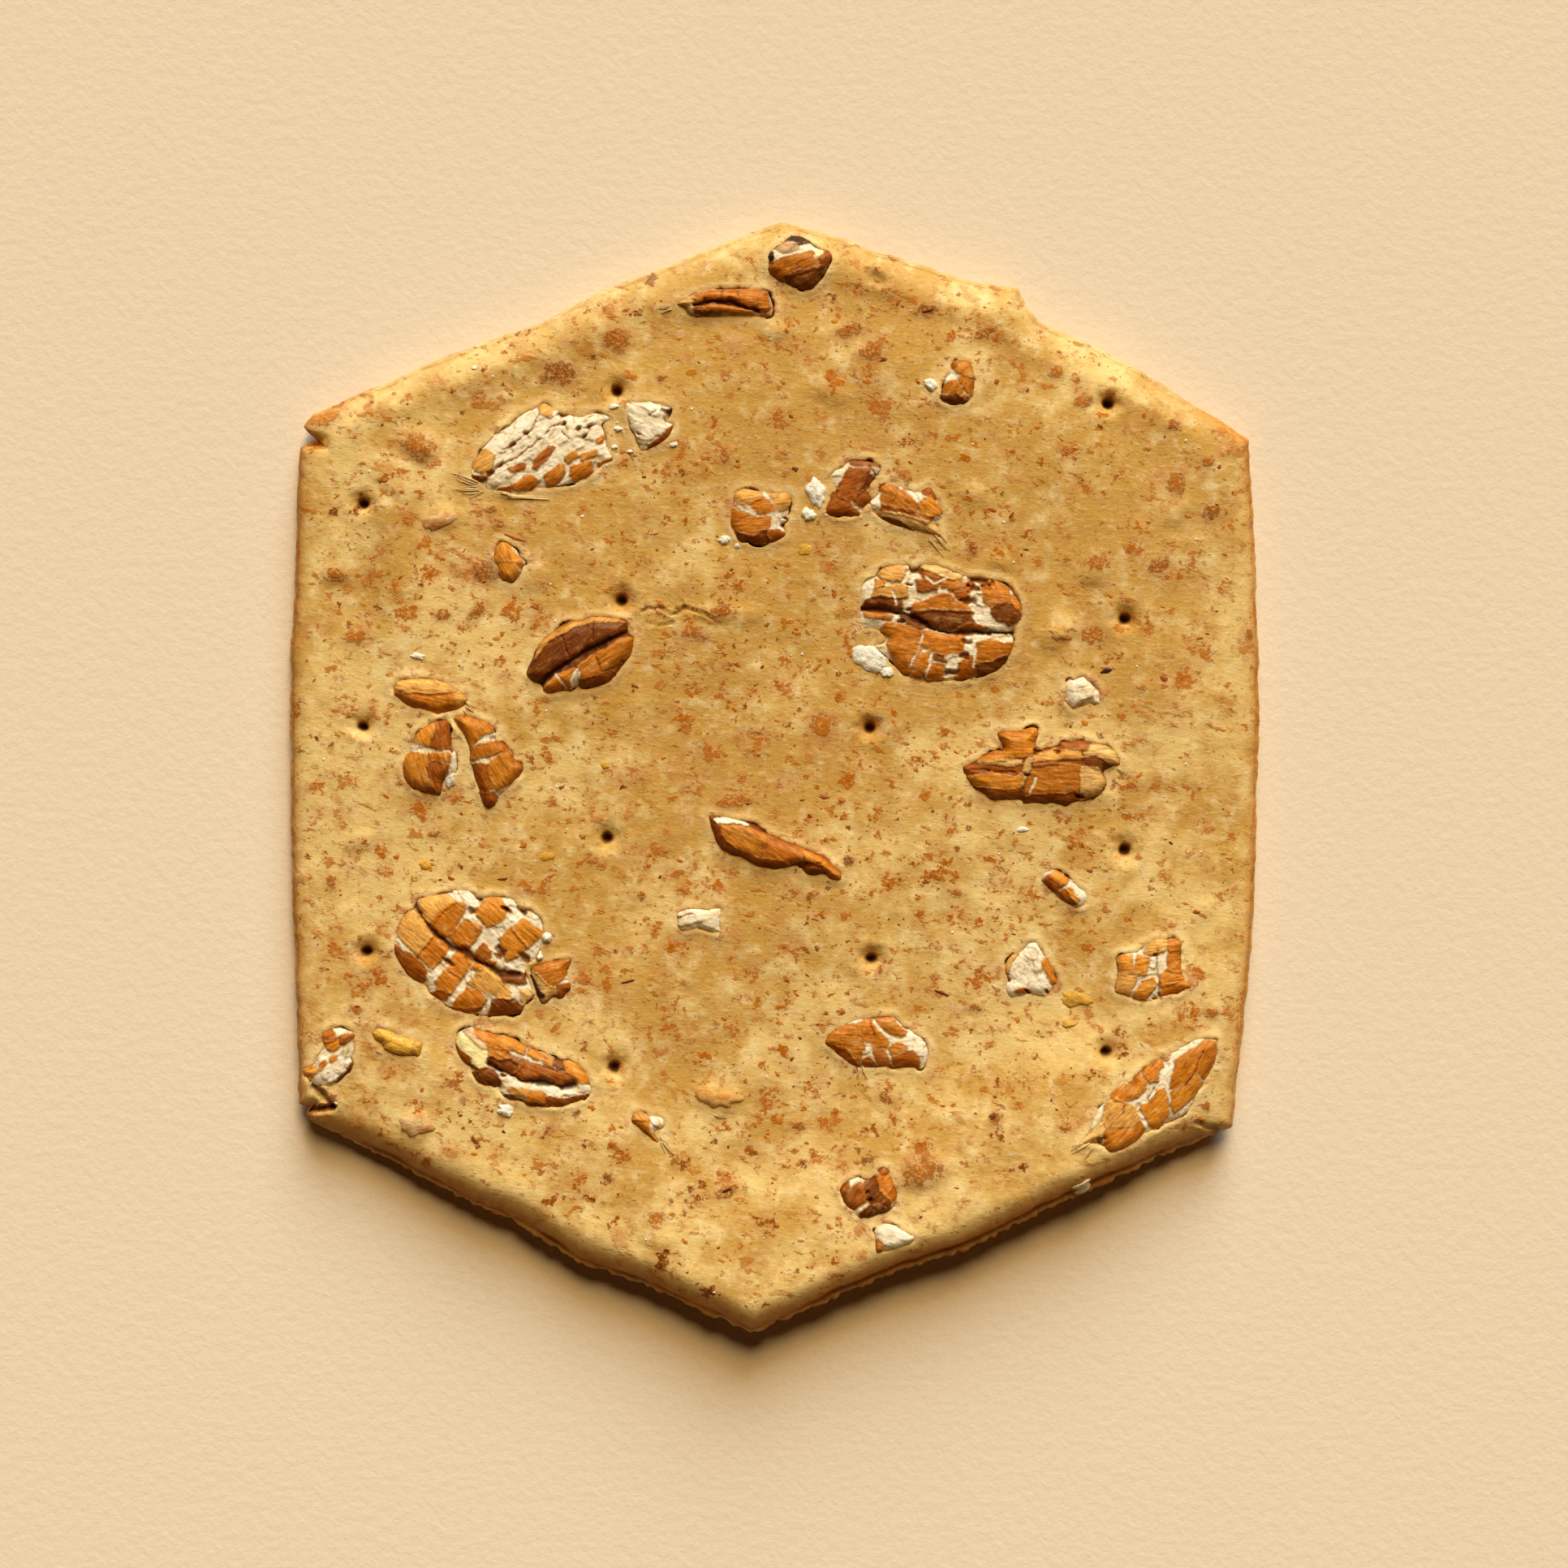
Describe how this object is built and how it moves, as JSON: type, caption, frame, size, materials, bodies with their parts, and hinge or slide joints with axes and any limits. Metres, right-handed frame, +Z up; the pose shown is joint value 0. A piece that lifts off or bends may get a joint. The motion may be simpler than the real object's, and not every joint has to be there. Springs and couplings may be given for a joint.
{
  "type": "spelt cracker",
  "caption": "Thin six-sided baked spelt cracker with pricked holes and cracked spelt kernels pressed into its top.",
  "frame": {"origin": "on the tray, under the middle of the bounding box", "axes": "+Z up out of the top with the kernels, +Y towards the pointed top corner, +X to the right seen from above"},
  "size_m": [0.06, 0.0686, 0.0041],
  "materials": {
    "dough": "matte baked dough, pale golden, flecked with bran",
    "bran_brown": "satin orange-brown bran in cracked tiles",
    "bran_dark": "satin dark brown bran",
    "straw_tan": "satin straw-coloured bran",
    "flour_white": "matte crumbly white endosperm",
    "grit_yellow": "slightly glassy yellow grit"
  },
  "bodies": {
    "root": {"dough": "dough", "kernel_end_top": "bran_dark", "half_kernel_top": "bran_dark", "chip_upper_right": "bran_brown", "white_flake_upper_left": "flour_white", "white_chip_upper_left": "flour_white", "round_flake_upper": "bran_brown", "crushed_kernel_left": "bran_brown", "crushed_kernel_right": "bran_brown", "broad_flake_right": "bran_brown", "small_flake_left": "straw_tan", "whole_kernel_left": "bran_dark", "bran_sliver_left": "straw_tan", "split_kernel_left": "bran_brown", "split_kernel_right": "bran_brown", "white_chip_right": "flour_white", "bran_flake_right": "bran_brown", "long_kernel_middle": "bran_brown", "small_flake_right": "straw_tan", "white_chip_middle": "flour_white", "broad_flake_left": "bran_brown", "loose_tile_left": "bran_brown", "pale_flake_right": "flour_white", "tiled_flake_right": "bran_brown", "pointed_flake_lower": "bran_brown", "edge_flake_left": "flour_white", "yellow_chip_left": "grit_yellow", "layered_flake_left": "bran_brown", "leaf_flake_right": "bran_brown", "split_tip_lower": "straw_tan", "brown_chip_bottom": "bran_dark", "cream_chip_bottom": "flour_white"}
  },
  "joints": []
}
